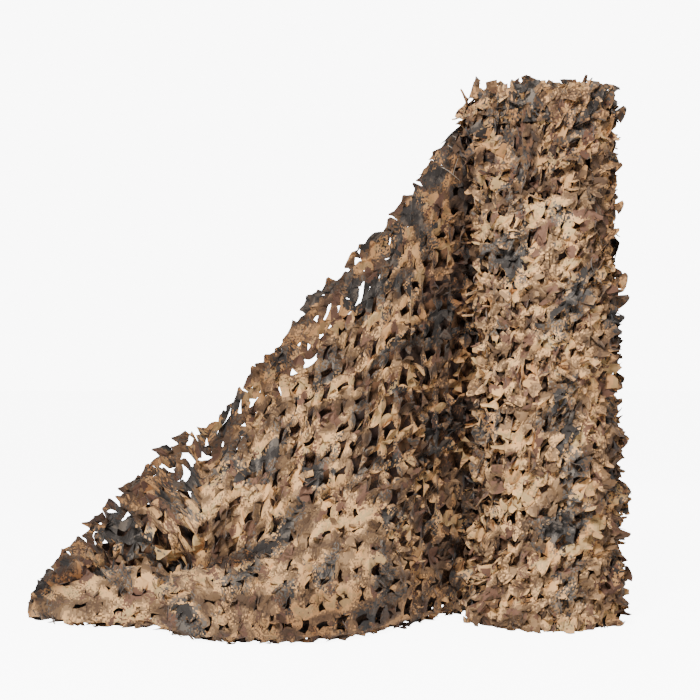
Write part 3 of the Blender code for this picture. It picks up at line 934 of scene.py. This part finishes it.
def drape_opened(u, w):
    """How far the windows are open: most in the hanging part, and hardly on the floor and by the roll."""
    if w > 0:
        return 0.9
    if w > -0.055 or u > LOOSE_LENGTH - 0.16:
        return 0.12
    below = reach_at(u, front_reach) + w
    top = 1 - smoothstep(below, 0.05, 0.20)
    shut = (1 - smoothstep(below, 0.20, 0.34)) * (1 - smoothstep(u, 0.42, 0.62))
    return float(0.70 + 0.32 * hanging(u, w) - 0.06 * top - 0.80 * shut)


def drape_relief(u, w):
    """How rough the cloth is: smoother in the fold that it lies on."""
    return 0.7 if w > 0.12 else 0.60 + 0.40 * float(hanging(u, w)) - 0.3 * (abs(w) < 0.10)


crease_height = float(reach_at(LOOSE_LENGTH / 2, crease_at))
print("half-way along, the crease is", round(crease_height, 2), "m from the fold")

# %% [markdown]
# The bunched part has creases that the sections are too coarse for. Each is a line across the front view, so
# its ends are given as x and z there, and the cloth is pushed in along it with a swell beside it.

# %% Creases
CREASES = (
    # x and z of its two ends, half width, depth
    (-0.740, 0.300, -0.575, 0.400, 0.018, 0.016),
    (-0.575, 0.400, -0.520, 0.440, 0.016, 0.012),
    (-0.730, 0.240, -0.650, 0.300, 0.014, 0.010),
    (-0.800, 0.150, -0.710, 0.200, 0.020, 0.016),
    (-0.690, 0.110, -0.560, 0.175, 0.016, 0.012),
    (-1.300, 0.190, -1.180, 0.240, 0.018, 0.014),
    (-1.240, 0.120, -1.140, 0.105, 0.022, 0.012),
    (-1.080, 0.140, -0.960, 0.200, 0.018, 0.016),
    (-1.065, 0.100, -1.040, 0.020, 0.014, 0.014),
    (-0.930, 0.090, -0.830, 0.125, 0.022, 0.014),
    (-0.500, 0.150, -0.420, 0.090, 0.020, 0.014),
    (-0.340, 0.300, -0.310, 0.170, 0.018, 0.016),
    (-1.370, 0.025, -1.250, 0.030, 0.045, -0.022),
)


def drape_folds(u, w):
    """The main creases of the front layer, soft troughs with a swell beside each, and a low crumple."""
    x, y, z = drape.at(u, w, 0 * u).T
    room = 1 - smoothstep(-y, 0.28, 0.38)
    height = 0.010 * room * (1 - hanging(u, w)) * (0.6 + unevenness(0.7 * u, w, 0.07, 91))
    for x_1, z_1, x_2, z_2, half, deep in CREASES:
        way = np.array((x_2 - x_1, z_2 - z_1))
        length = np.linalg.norm(way)
        way /= length
        along = (x - x_1) * way[0] + (z - z_1) * way[1]
        across = (z - z_1) * way[0] - (x - x_1) * way[1] + 0.010 * unevenness(u, w, 0.05, 92)
        end = smoothstep(along, -0.04, 0.03) * (1 - smoothstep(along, length - 0.03, length + 0.04))
        trough, swell = np.exp(-((across / half) ** 2)), np.exp(-((across / half - 1.6) ** 2))
        height = height + end * deep * (0.6 * swell - trough)
    return np.where(w < -0.02, height, 0.0)


print(len(CREASES), "creases")

# %% [markdown]
# The netting gets a painted shade: a little all over, less where it hangs, and deep in the valley beside the
# roll, in the crease where it starts to hang, along its top edge and low at the front of the fold. The top
# edge, the valley and the crease also get more charcoal print, which greys them. The lights alone leave these
# places too bright, so each point stores this painted shade.


# %% Shade and grey
def drape_looks(u, w):
    """Painted shade deep in the valley by the roll and in the crease, and along the top, which is also grey.
    """
    x, _, z = drape.at(u, w, 0 * u).T
    top = smoothstep(-w - reach_at(u, front_reach), -0.30, -0.08)
    hangs = hanging(u, w)
    valley = 0.68 * (1 - smoothstep(-x, 0.26, 0.59)) * (0.70 + 0.30 * hangs + 0.15 * smoothstep(z, 0.7, 1.0))
    foremost = (1 - smoothstep(-w, 0.08, 0.24)) * np.exp(-(((x + 0.66) / 0.24) ** 2))
    near = np.abs(-w - reach_at(u, crease_at))
    crease = 0.95 * smoothstep(-x, 0.66, 0.86) * np.exp(-((near / 0.034) ** 2))
    # depth is painted shade: slight where the cloth lies, less where it hangs, and deep low at the front of
    # the fold, in the valley, along the top and in the crease.
    depth = 0.12 - 0.10 * hangs + 0.68 * foremost + np.maximum(valley, 0.72 * top + crease)
    # grey gives more charcoal print along the top, in the valley and in the crease.
    grey = np.maximum(np.maximum(0.45 * top, 0.4 * valley), 0.45 * crease)
    rear = w > 0.02
    return np.where(rear, 0.0, depth), np.where(rear, 0.1, 1.0 - 0.85 * hangs), np.where(rear, 0.0, grey)


# %% [markdown]
# The real netting is sewn to a net of thin string. It shows only near the roll's top left, where four strings
# cross the windows, so only those are made. They are ribbons, as wide as the string is thick.

# %% Loose end's cloth
BACKING_STRINGS = (
    # along the cloth and below its top edge, for both ends
    (0.305, 0.040, 0.235, 0.115),
    (0.290, 0.020, 0.215, 0.085),
    (0.250, 0.055, 0.290, 0.135),
    (0.330, 0.085, 0.265, 0.160),
)
STRING_LIFT = 0.016
LOOSE_REACH = 1.55  # the lattice is laid out from that far below w = 0 to that far above it
loose_columns = int(LOOSE_LENGTH / CELL[0])
loose_rows = int(2 * LOOSE_REACH / CELL[1])
loose_pitch = (LOOSE_LENGTH / loose_columns, CELL[1])
loose_cloth = Cloth(LOOSE_CUT, 11)
loose_cloth.cells(loose_columns, loose_rows, loose_pitch, -LOOSE_REACH, in_drape, drape_opened, drape_relief)
for u, below, u_end, below_end in BACKING_STRINGS:
    start, end = ((at, drop - reach_at(at, front_reach)) for at, drop in ((u, below), (u_end, below_end)))
    loose_cloth.thread(start, end, STRING_LIFT)
loose_end = cloth_mesh(loose_cloth, "loose_end_netting", drape, drape_looks, (2.0, 3.0),
                       folds=drape_folds, hem=drape_hem)
loose_end.data.materials.append(outer_cloth)
loose_end.data.materials.append(string_material())

# %% [markdown]
# The netting's edge is turned in between the two layers. It lies close inside the rear one, with its slits
# shut, and with its painted deep shade it makes the windows of both layers look dark.

# %% Turned-in edge
INNER_INSET = 0.014
INNER_FIRST = 0.03
# the painted shade of the turned-in layer
INNER_SHADE = 0.86


def in_inner(u, w):
    past = np.interp(u, (0.12, 0.20, 0.50), (-0.05, 0.12, 0.06))
    return 0.03 < u < LOOSE_LENGTH - 0.06 and 0.10 < w < reach_at(u, rear_reach) + past


inner_cloth = Cloth({**LOOSE_CUT, "rough": 0.006}, 17)
inner_cloth.cells(loose_columns, loose_rows // 2, loose_pitch, INNER_FIRST,
                  in_inner, lambda u, w: 0.0, lambda u, w: 0.4)
inner_layer = cloth_mesh(inner_cloth, "loose_end_inner_layer", drape, lambda u, w: (INNER_SHADE, 0.0, 0.0),
                         (7.0, 2.0), folds=lambda u, w: -INNER_INSET)
inner_layer.data.materials.append(shaded_cloth)

# %% [markdown]
# ## The roll's netting
#
# The outer turn is a lattice whose windows are mostly covered by leaves. Another lies just inside it, with a
# painted shade, and inside that the wound cloth shows only as a wall in full painted shade. The whole wound
# length could be made, but nothing more of it would be seen.

# %% Roll turns
ROLL_COLUMNS = 26
ROLL_CELL = (ROLL_ROUND / ROLL_COLUMNS, 0.056)
ROLL_CUT = {
    "bar": 0.024, "bow": 0.006, "rough": 0.012, "tilt": 0.011, "edge": (0.016, 0.032), "lobes": 1.0,
    "leaves": 0.95, "reach": (0.6, 1.1), "blunt": 0.55, "stands": (0.2, 1.2), "lies": (1.9, 2.7),
}
SLANT = 0.30  # the rows of the wound cloth climb to the right
ROW_START = 0.002
FOOT_GAP, TOP_GAP = 0.010, 0.012  # a cell whose middle is nearer to the floor or the top is left out


def roll_turn(name, inset, lumps, seed, opened, depth, shift, material):
    """One turn of the roll. The lattice starts below the floor, as its rows climb, and is cut off there."""
    cloth = Cloth(ROLL_CUT, seed)
    rows = round(TOP / ROLL_CELL[1])
    below = math.ceil(SLANT * ROLL_ROUND / ROLL_CELL[1])
    first = ROW_START - below * TOP / rows
    cloth.cells(ROLL_COLUMNS, rows + below, (ROLL_CELL[0], TOP / rows), first,
                lambda u, w: FOOT_GAP < w + SLANT * u < TOP - TOP_GAP, lambda u, w: opened, lambda u, w: 1.0)

    def looks(u, w):
        """Painted shade at the top and towards the right, where the light from the left doesn't reach, and
        more charcoal print there.
        """
        high = smoothstep(w, 1.10, 1.32)
        right = smoothstep(u / ROLL_ROUND, 0.55, 0.66)
        return depth + np.maximum(0.47 * high, 0.48 * right), 1.0, np.maximum(0.40 * high, 0.32 * right)

    made = cloth_mesh(cloth, name, roll_surface(inset, lumps, seed), looks, shift, slant=SLANT)
    made.data.materials.append(material)
    return made


# depth is each turn's painted shade, and the second turn takes the cloth copy in the shade.
roll_outer = roll_turn("roll_outer_turn", inset=0.009, lumps=0.013, seed=21, opened=0.95, depth=0.0,
                       shift=(0.0, 0.0), material=roll_cloth)
roll_second = roll_turn("roll_second_turn", inset=0.022, lumps=0.008, seed=31, opened=0.80, depth=0.70,
                        shift=(1.4, 0.4), material=shaded_cloth)

# %% [markdown]
# The turns further in never show as such. They are one closed wall of cloth a little inside the second turn,
# with a lid just under the spiral of edges, so that no light comes through the roll.

# %% Roll core
CORE_COLUMNS, CORE_ROWS = 72, 60
CORE_INSET, CORE_LUMPS = 0.032, 0.006
CORE_TOP, LID = HEIGHT - 0.02, HEIGHT - 0.05
CORE_RADIUS = 0.19  # for the print's size round it
shares = np.linspace(0, 1, CORE_COLUMNS + 1)[:-1]
share, height = np.meshgrid(shares, np.linspace(0.0, 1.0, CORE_ROWS + 1), indexing="ij")
core_height = height * CORE_TOP
core_surface = roll_surface(CORE_INSET, CORE_LUMPS, 41)
core_points = core_surface.at(share.ravel() * ROLL_ROUND, core_height.ravel(), np.zeros(share.size)).tolist()
core_points += [[0, 0, LID], [0, 0, 0.0]]
lid, base = len(core_points) - 2, len(core_points) - 1
core_faces = []
for column in range(CORE_COLUMNS):
    here, there = (k % CORE_COLUMNS * (CORE_ROWS + 1) for k in (column, column + 1))
    for row in range(CORE_ROWS):
        core_faces.append((here + row, there + row, there + row + 1, here + row + 1))
    core_faces.append((here + CORE_ROWS, there + CORE_ROWS, lid))
    core_faces.append((there, here, base))
core = bpy.data.meshes.new("roll_inner_turns")
core.from_pydata(core_points, [], core_faces)
label_points(core, "print_at", [(math.atan2(y, x) * CORE_RADIUS, z, 0.0) for x, y, z in core_points])
# The wall takes the full painted shade.
label_points(core, "depth", [1.0] * len(core_points))
core.materials.append(shaded_cloth)
roll_core = show("roll_inner_turns", core)
print("roll_inner_turns", len(core_faces), "faces")

# %% [markdown]
# On top, the turns' edges show as a spiral of leafy cloth. It is laid out like the other cloths, on a surface
# that stands up and winds outwards, and its lower part has a painted shade.

# %% Roll top
SPIRAL_PITCH, SPIRAL_INNER, SPIRAL_OUTER = 0.016, 0.02, 0.19
SPIRAL_DEEP, SPIRAL_SPARE = 0.09, 0.04  # the surface's height below and above the roll's top
SPIRAL_U_STEP, SPIRAL_W_STEP = 0.006, 0.01
SPIRAL_CELL = (0.046, 0.045)
spiral_turns = (SPIRAL_OUTER - SPIRAL_INNER) / SPIRAL_PITCH
spiral_angle = np.linspace(0.0, spiral_turns * 2 * math.pi, 900)
spiral_radius = SPIRAL_INNER + spiral_angle / (2 * math.pi) * SPIRAL_PITCH
spiral_line = np.stack([spiral_radius * np.cos(spiral_angle), spiral_radius * np.sin(spiral_angle)], axis=1)
spiral_along = distances(spiral_line)
spiral_u = np.arange(0.0, spiral_along[-1], SPIRAL_U_STEP)
spiral_xy = read_line(spiral_line, spiral_along, spiral_u)
spiral_places = np.stack([
    np.concatenate([spiral_xy, np.full((len(spiral_u), 1), z)], axis=1)
    for z in np.arange(HEIGHT - SPIRAL_DEEP, HEIGHT + SPIRAL_SPARE, SPIRAL_W_STEP)
], axis=1)
spiral = Surface(spiral_places, SPIRAL_U_STEP, 0.0, SPIRAL_W_STEP)
spiral_cloth = Cloth({**ROLL_CUT, "rough": 0.004, "tilt": 0.003, "edge": (0.010, 0.022)}, 51)
spiral_cloth.cells(int(spiral_along[-1] / SPIRAL_CELL[0]), 2, SPIRAL_CELL, 0.0,
                   lambda u, w: True, lambda u, w: 0.6, lambda u, w: 1.0)
# Painted shade grows downwards into the spiral; grey 0.5 gives it more charcoal print.
roll_top = cloth_mesh(spiral_cloth, "roll_top_turns", spiral,
                      lambda u, w: (0.05 - 6 * (w - SPIRAL_DEEP), 1.0, 0.5), (5.0, 5.0))
roll_top.data.materials.append(roll_cloth)

# %% [markdown]
# ## Curled leaves
#
# The die leaves more small leaves than the lattice has. Four leaf shapes are scattered over each cloth by
# Geometry Nodes: points are spread on its faces, a leaf is put on each, turned and tilted by chance, and the
# instances are made real. Each leaf takes the print from the place it grows on.
#
# A particle system could scatter them too, but nodes keep every choice in named inputs and give a plain mesh.


# %% Leaf shapes
def leaf_shape(name, rows):
    """A leaf from rows of (distance along, half width, shift to the side, lift)."""
    places, faces = [], []
    for row, (along_leaf, half, shift, lift) in enumerate(rows):
        ridge = (0.15 + 0.15 * row) * half
        for side in (-1, 0, 1):
            places.append((shift + side * half, along_leaf, lift + ridge * (1 - abs(side))))
    for row in range(len(rows) - 1):
        for k in (3 * row, 3 * row + 1):
            faces.append((k, k + 1, k + 4, k + 3))
    data = bpy.data.meshes.new(name)
    data.from_pydata(places, [], faces)
    label_points(data, "leaf_at", [(x, y, 0.0) for x, y, z in places])
    data.polygons.foreach_set("use_smooth", [True] * len(faces))
    leaf_shapes.objects.link(bpy.data.objects.new(name, data))


leaf_shapes = bpy.data.collections.new("leaf shapes")
bpy.context.scene.collection.children.link(leaf_shapes)
LEAVES = {
    # distance along, half width, shift to the side, lift
    "leaf, pointed": ((0.0, 0.015, 0.0, 0.0), (0.011, 0.013, 0.001, 0.004), (0.023, 0.008, 0.004, 0.006),
                      (0.032, 0.0055, 0.008, 0.004)),
    "leaf, curled": ((0.0, 0.016, 0.0, 0.0), (0.010, 0.014, -0.001, 0.005), (0.019, 0.010, -0.003, 0.013),
                     (0.026, 0.006, -0.006, 0.019)),
    "leaf, broad": ((0.0, 0.017, 0.0, 0.0), (0.010, 0.016, 0.0, 0.002), (0.020, 0.013, 0.002, 0.005),
                    (0.028, 0.009, 0.005, 0.008)),
    "leaf, long": ((0.0, 0.012, 0.0, 0.0), (0.014, 0.012, -0.001, 0.003), (0.029, 0.008, -0.004, 0.003),
                   (0.038, 0.0050, -0.009, 0.006)),
}
for shape_name, shape_rows in LEAVES.items():
    leaf_shape(shape_name, shape_rows)
print(len(LEAVES), "leaf shapes, up to", max(rows[-1][0] for rows in LEAVES.values()), "m long")

# %% [markdown]
# The tree takes the cloth's own attributes along. `leafy` says how many leaves grow in a place, `depth` how
# much painted shade they take, and `print_at` is where they are in the print. `back` is dropped, so neither
# side of a leaf takes the painted shade of back faces.


# %% Scatter tree
def stored_number(tree, name, kind="FLOAT"):
    """What the points' attribute of that name says."""
    return add(tree, "GeometryNodeInputNamedAttribute", {"Name": name}, data_type=kind).outputs[0]


def random_number(tree, low, high, seed):
    inputs = {2: low, 3: high, "Seed": seed}
    return add(tree, "FunctionNodeRandomValue", inputs, data_type="FLOAT").outputs[1]


def store(tree, geometry, name, value, kind, domain):
    return add(tree, "GeometryNodeStoreNamedAttribute", {
        "Geometry": geometry, "Name": name, "Value": value,
    }, data_type=kind, domain=domain).outputs[0]


LEAST_TILT, ROLLED, OWN_SHADE = 0.05, 0.35, (-0.05, 0.25)


def scatter_tree():
    """Leaves on the faces of the geometry that comes in."""
    tree = bpy.data.node_groups.new("scatter leaves", "GeometryNodeTree")
    new_sockets(tree, "INPUT", (
        ("Geometry", "Geometry"),
        ("Leaves", "Collection"),
        ("Leaves Per Square Metre", "Float", 1500.0),
        ("Smallest", "Float", 0.7),
        ("Largest", "Float", 1.15),
        ("Tilt", "Float", 0.9),
        ("Seed", "Int", 1),
        ("Material", "Material"),
    ))
    new_sockets(tree, "OUTPUT", (("Geometry", "Geometry"),))
    source = add(tree, "NodeGroupInput").outputs
    seed = source["Seed"]

    density = calc(tree, "MULTIPLY", stored_number(tree, "leafy"),
                   source["Leaves Per Square Metre"])
    points = add(tree, "GeometryNodeDistributePointsOnFaces", {
        "Mesh": source["Geometry"], "Density": density, "Seed": seed,
    }, distribute_method="RANDOM").outputs
    front_only = add(tree, "GeometryNodeRemoveAttribute", {0: points["Points"], "Name": "back"})
    shapes = add(tree, "GeometryNodeCollectionInfo", {
        "Collection": source["Leaves"], "Separate Children": True, "Reset Children": True,
    })

    least = add(tree, "ShaderNodeCombineXYZ", {0: LEAST_TILT, 1: -ROLLED, 2: -math.pi})
    most = add(tree, "ShaderNodeCombineXYZ", {0: source["Tilt"], 1: ROLLED, 2: math.pi})
    turn = add(tree, "FunctionNodeRandomValue", {
        0: least.outputs[0], 1: most.outputs[0], "Seed": seed,
    }, data_type="FLOAT_VECTOR")
    spun = add(tree, "FunctionNodeEulerToRotation", {0: turn.outputs[0]})
    rotation = add(tree, "FunctionNodeRotateRotation", {
        0: points["Rotation"], 1: spun.outputs[0],
    }, rotation_space="LOCAL")
    placed = add(tree, "GeometryNodeInstanceOnPoints", {
        "Points": front_only.outputs[0],
        "Instance": shapes.outputs[0],
        "Pick Instance": True,
        "Rotation": rotation.outputs[0],
        "Scale": random_number(tree, source["Smallest"], source["Largest"], seed),
    }).outputs[0]

    # A leaf takes the painted shade of its place, plus a random tone of its own.
    leaf_painted_shade = calc(tree, "ADD", stored_number(tree, "depth"),
                      random_number(tree, *OWN_SHADE, seed), use_clamp=True)
    shaded = store(tree, placed, "depth", leaf_painted_shade, "FLOAT", "INSTANCE")
    real = add(tree, "GeometryNodeRealizeInstances", {0: shaded}).outputs[0]
    place = add(tree, "ShaderNodeVectorMath", {
        0: stored_number(tree, "print_at", "FLOAT_VECTOR"),
        1: stored_number(tree, "leaf_at", "FLOAT_VECTOR"),
    }, operation="ADD")
    printed = store(tree, real, "print_at", place.outputs[0], "FLOAT_VECTOR", "POINT")
    coloured = add(tree, "GeometryNodeSetMaterial", {
        "Geometry": printed, "Material": source["Material"],
    })
    add(tree, "NodeGroupOutput", {0: coloured.outputs[0]})
    return tree


SCATTER = scatter_tree()
print("scatter leaves:", len(SCATTER.nodes), "nodes")

# %% [markdown]
# A copy of each cloth carries the tree, so the cloth keeps its own mesh. What grows on it becomes a plain
# mesh, the points that reach below the floor are lifted, and the copy and the leaf shapes are removed.


# %% Leaves on the cloths
def leaves_on(ground, name, material, values):
    """The leaves that the scatter tree grows on a cloth, as a plain mesh."""
    carrier = show(name + " carrier", ground.data.copy())
    modifier = carrier.modifiers.new("leaves", "NODES")
    modifier.node_group = SCATTER
    values = {"Leaves": leaf_shapes, "Material": material, **values}
    for item in SCATTER.interface.items_tree:
        if item.in_out == "INPUT" and item.name in values:
            modifier[item.identifier] = values[item.name]
    evaluated = carrier.evaluated_get(bpy.context.evaluated_depsgraph_get())
    data = bpy.data.meshes.new_from_object(evaluated)
    data.name = name
    made = show(name, data)
    bpy.data.objects.remove(carrier)
    places = np.empty(3 * len(data.vertices), np.float32)
    data.vertices.foreach_get("co", places)
    places[2::3] = np.maximum(places[2::3], OFF_FLOOR)
    data.vertices.foreach_set("co", places)
    print(name, len(data.polygons), "faces")
    return made


loose_leaves = leaves_on(loose_end, "loose_end_leaves", outer_cloth, {
    "Leaves Per Square Metre": 350.0, "Largest": 1.0, "Tilt": 0.28, "Seed": 3,
})
roll_leaves = leaves_on(roll_outer, "roll_leaves", roll_cloth, {
    "Leaves Per Square Metre": 540.0, "Tilt": 0.45, "Smallest": 0.9, "Largest": 1.35, "Seed": 5,
})
top_leaves = leaves_on(roll_top, "roll_top_leaves", roll_cloth, {
    "Leaves Per Square Metre": 500.0, "Seed": 9,
})
for shape in list(leaf_shapes.objects):
    bpy.data.objects.remove(shape)
bpy.data.collections.remove(leaf_shapes)

# %% [markdown]
# ## Studio
#
# A pale floor, a bright surround, one large soft light in front on the left, a weak one on the right and one
# behind, which brightens the edges. Floor and surround look white to the camera but give much less light, as
# if the picture's background had been whitened later. The camera is level, three quarters of a metre up.


# %% Floor and surround
def seen_strength(tree, seen, otherwise):
    """One strength for what the camera sees directly, another for the light that is given."""
    path = add(tree, "ShaderNodeLightPath").outputs["Is Camera Ray"]
    return remapped(tree, path, (0.0, 1.0), (otherwise, seen))


FLOOR_HALF = 30
floor_data = bpy.data.meshes.new("floor")
corners = [(x * FLOOR_HALF, y * FLOOR_HALF, 0) for x, y in ((-1, -1), (1, -1), (1, 1), (-1, 1))]
floor_data.from_pydata(corners, [], [(0, 1, 2, 3)])
floor_material, floor_tree, floor_shader = new_material("pale floor")
set_inputs(floor_tree, floor_shader, {
    "Base Color": (0.93, 0.93, 0.93, 1.0),
    "Roughness": 0.9,
    "Emission Color": WHITE,
    "Emission Strength": seen_strength(floor_tree, 8.2, 0.0),
})
floor_data.materials.append(floor_material)
floor = show("floor", floor_data)

world = bpy.data.worlds.new("studio")
bpy.context.scene.world = world
world.use_nodes = True
set_inputs(world.node_tree, world.node_tree.nodes["Background"], {
    "Color": WHITE,
    "Strength": seen_strength(world.node_tree, 9.0, 0.4),
})
print("floor", 2 * FLOOR_HALF, "m wide")

# %% [markdown]
# Area lights are soft in the way of a studio's lamps. The lens is long, as for a picture of goods, and is
# shifted up a little instead of being tilted, which keeps upright lines upright.


# %% Lights and camera
def soft_light(name, place, target, size, power):
    data = bpy.data.lights.new(name, "AREA")
    data.size = size
    data.energy = power
    light = show(name, data)
    light.location = place
    way = np.array(target) - np.array(place)
    down = math.acos(-way[2] / np.linalg.norm(way))
    light.rotation_euler = (down, 0.0, math.atan2(way[1], way[0]) - math.pi / 2)


soft_light("key light", (-1.2, -3.8, 3.2), (-0.4, 0.0, 0.5), size=0.9, power=430.0)
soft_light("side light", (3.0, -2.5, 2.2), (-0.3, 0.0, 0.7), size=1.6, power=20.0)
soft_light("back light", (0.5, 4.5, 2.6), (-0.4, 0.0, 0.6), size=1.6, power=70.0)

camera_data = bpy.data.cameras.new("camera")
camera_data.lens = 81.3
camera_data.shift_y = 0.0094
camera = show("camera", camera_data)
camera.location = (-0.555, -4.5, 0.75)
camera.rotation_euler = (math.radians(90), 0.0, 0.0)
bpy.context.scene.camera = camera
print("camera", round(-camera.location.y, 2), "m in front, with a lens of", round(camera_data.lens, 1), "mm")

# %% [markdown]
# ## Pieces and their bodies
#
# Nothing moves, so every piece rides the one body. The netting stands for its solids.

# %% Finish
draped = (loose_end, inner_layer, loose_leaves)
wound = (roll_outer, roll_second, roll_core, roll_top, roll_leaves, top_leaves)
for piece in draped + wound:
    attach(piece, "root")
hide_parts("netting_loose_end")
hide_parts("netting_roll")
